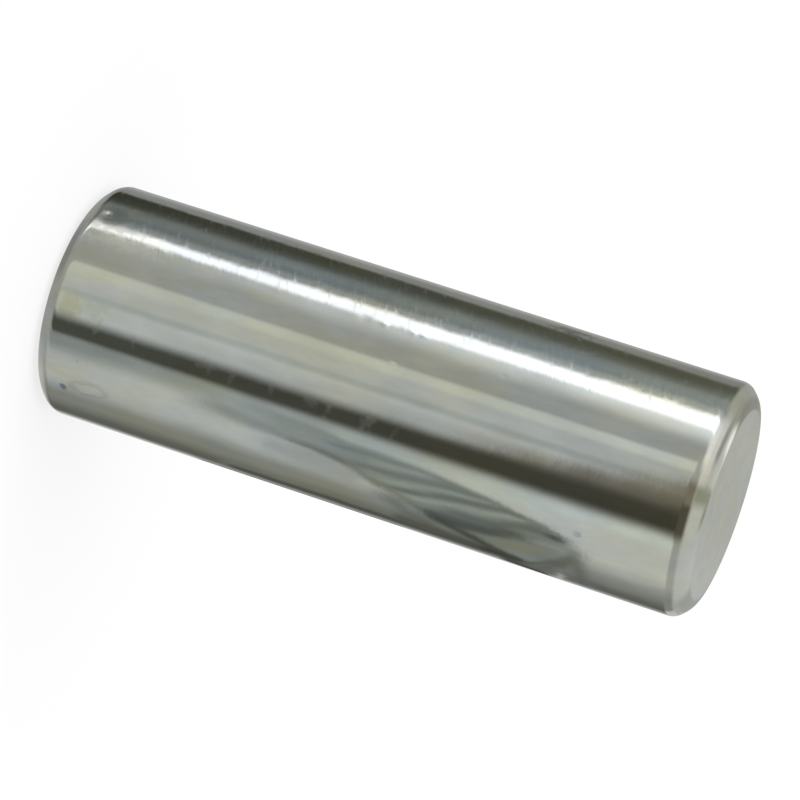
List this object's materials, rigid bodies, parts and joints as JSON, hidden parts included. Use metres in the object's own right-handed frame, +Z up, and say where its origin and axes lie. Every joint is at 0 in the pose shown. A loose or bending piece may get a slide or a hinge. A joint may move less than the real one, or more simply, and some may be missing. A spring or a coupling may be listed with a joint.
{
  "type": "door hinge pin",
  "caption": "Plain round steel hinge pin with a beveled, softly rounded edge at each flat end, for joining hinge leaves so that they turn on it.",
  "frame": {"origin": "centre of the lower end face, where the pin stands", "axes": "+Z up along the pin's centre line, towards the other end; X and Y are any two directions square to it, because the pin is round"},
  "size_m": [0.012, 0.012, 0.0346],
  "materials": {
    "plated_steel": "bright zinc plating over ground steel, glossy with fine lay marks, faint yellow and blue cast"
  },
  "bodies": {
    "root": {"hinge_pin": "plated_steel"}
  },
  "joints": []
}
